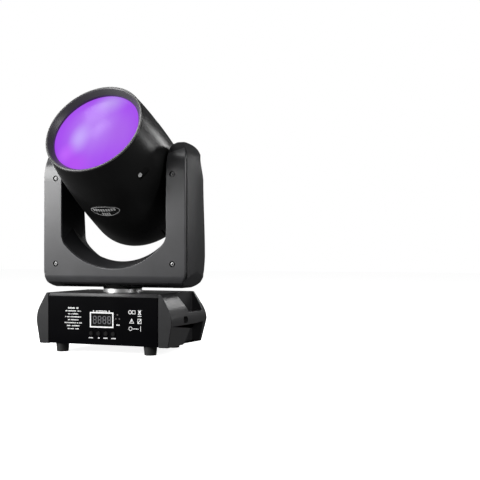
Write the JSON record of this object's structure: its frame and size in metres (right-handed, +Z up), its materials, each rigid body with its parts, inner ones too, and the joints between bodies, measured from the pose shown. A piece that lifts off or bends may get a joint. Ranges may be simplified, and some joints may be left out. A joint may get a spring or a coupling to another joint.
{
  "type": "moving head light",
  "caption": "Stage light whose lens head tilts in a U-shaped yoke that pans on a base with a control panel and carry handles.",
  "frame": {"origin": "on the ground under the pan axis", "axes": "+Z up along the pan axis, -Y towards the control panel, +X to the viewer's right of the panel"},
  "size_m": [0.273, 0.2785, 0.4351],
  "materials": {
    "satin_black": "satin powder coat",
    "side_black": "satin powder coat",
    "head_black": "fine satin paint",
    "cap_black": "fine moulded grain",
    "panel_black": "semi-matte",
    "chassis_black": "matt",
    "foot_rubber": "matt",
    "white_print": "printed",
    "display_dark": "smoked window",
    "digit_grey": "unlit segments",
    "board_green": "solder mask",
    "status_lens": "clear caps",
    "button_dark": "moulded",
    "socket_black": "moulded",
    "socket_metal": "zinc shell",
    "steel": "brushed",
    "screw_steel": "black zinc",
    "bare_aluminium": "turned",
    "motor_black": "black",
    "belt_rubber": "toothed belt",
    "pulley_dark": "anodised",
    "lens_glass": "polished, lit violet",
    "led_yellow": "phosphor",
    "wheel_dichroic": "dichroic filters",
    "optic_glass": "polished",
    "badge_black": "printed plate",
    "carriage_dark": "moulded"
  },
  "bodies": {
    "base": {"base_chassis": "chassis_black", "top_cover": "satin_black", "front_panel": "panel_black", "rear_panel": "panel_black", "cap_left": "cap_black", "cap_right": "cap_black", "foot_front_left": "foot_rubber", "foot_front_right": "foot_rubber", "foot_rear_left": "foot_rubber", "foot_rear_right": "foot_rubber", "display_frame": "white_print", "display_module": "display_dark", "display_digits": "digit_grey", "control_board": "board_green", "status_lights": "status_lens", "power_inlet": "socket_black", "fuse_holder": "socket_black", "signal_in": "socket_metal", "signal_out": "socket_metal", "power_supply": "steel", "safety_eye": "steel", "pan_bearing": "steel", "pan_motor": "motor_black", "pan_belt": "belt_rubber", "cap_screws": "screw_steel"},
    "button_menu": {"button_menu": "button_dark"},
    "button_up": {"button_up": "button_dark"},
    "button_down": {"button_down": "button_dark"},
    "button_enter": {"button_enter": "button_dark"},
    "pan_pinion": {"pan_pinion": "bare_aluminium"},
    "yoke": {"yoke_frame": "side_black", "yoke_front_cover": "satin_black", "yoke_rear_cover": "satin_black", "arm_shell_left": "side_black", "arm_shell_right": "side_black", "yoke_screws": "screw_steel", "pan_shaft": "bare_aluminium", "pan_pulley": "pulley_dark", "tilt_bearings": "steel", "tilt_motor": "motor_black", "tilt_belt": "belt_rubber", "yoke_board": "board_green"},
    "tilt_pinion": {"tilt_pinion": "bare_aluminium"},
    "head": {"head_barrel": "head_black", "head_rear_cover": "head_black", "head_screws": "screw_steel", "front_ring": "head_black", "front_lens": "lens_glass", "tilt_hubs": "bare_aluminium", "tilt_pulley": "pulley_dark", "badge": "badge_black", "optics_frame": "bare_aluminium", "wheel_motors": "motor_black", "heat_sink": "bare_aluminium", "led_module": "led_yellow", "fan_frame": "socket_black"},
    "colour_wheel": {"colour_wheel": "wheel_dichroic"},
    "gobo_wheel": {"gobo_wheel": "steel"},
    "prism": {"prism": "optic_glass"},
    "focus_carriage": {"focus_carriage": "carriage_dark"},
    "fan_rotor": {"fan_rotor": "socket_black"}
  },
  "joints": [
    {"name": "button_menu_press", "type": "slide", "parent": "base", "child": "button_menu", "axis": [0, 1, 0], "range_m": [0, 0.001], "stiffness_N_per_m": 800},
    {"name": "button_up_press", "type": "slide", "parent": "base", "child": "button_up", "axis": [0, 1, 0], "range_m": [0, 0.001], "stiffness_N_per_m": 800},
    {"name": "button_down_press", "type": "slide", "parent": "base", "child": "button_down", "axis": [0, 1, 0], "range_m": [0, 0.001], "stiffness_N_per_m": 800},
    {"name": "button_enter_press", "type": "slide", "parent": "base", "child": "button_enter", "axis": [0, 1, 0], "range_m": [0, 0.001], "stiffness_N_per_m": 800},
    {"name": "pan", "type": "hinge", "parent": "base", "child": "yoke", "pos_m": [0, 0, 0.1], "axis": [0, 0, 1], "range_deg": [-270, 270]},
    {"name": "pan_pinion_turn", "type": "hinge", "parent": "base", "child": "pan_pinion", "pos_m": [0.06, 0.014, 0.06], "axis": [0, 0, 1], "range_deg": [-1360, 1360]},
    {"name": "tilt", "type": "hinge", "parent": "yoke", "child": "head", "pos_m": [0, 0, 0.306], "axis": [1, 0, 0], "range_deg": [-195, 75]},
    {"name": "tilt_pinion_turn", "type": "hinge", "parent": "yoke", "child": "tilt_pinion", "pos_m": [0.1115, 0, 0.211], "axis": [1, 0, 0], "range_deg": [-730, 285]},
    {"name": "colour_wheel_turn", "type": "hinge", "parent": "head", "child": "colour_wheel", "pos_m": [0, 0.01631, 0.26425], "axis": [0, -0.866, 0.5], "continuous": true},
    {"name": "gobo_wheel_turn", "type": "hinge", "parent": "head", "child": "gobo_wheel", "pos_m": [0, 0.03738, 0.31675], "axis": [0, -0.866, 0.5], "continuous": true},
    {"name": "prism_turn", "type": "hinge", "parent": "head", "child": "prism", "pos_m": [0, 0.01039, 0.3], "axis": [0, -0.866, 0.5], "continuous": true},
    {"name": "focus", "type": "slide", "parent": "head", "child": "focus_carriage", "axis": [0, -0.866, 0.5], "range_m": [-0.008, 0.03]},
    {"name": "fan_turn", "type": "hinge", "parent": "head", "child": "fan_rotor", "pos_m": [0, 0.0918, 0.253], "axis": [0, -0.866, 0.5], "continuous": true}
  ],
  "couplings": [
    {"joint": "pan_pinion_turn", "follows": "pan", "ratio": 5},
    {"joint": "tilt_pinion_turn", "follows": "tilt", "ratio": 3.4286}
  ]
}
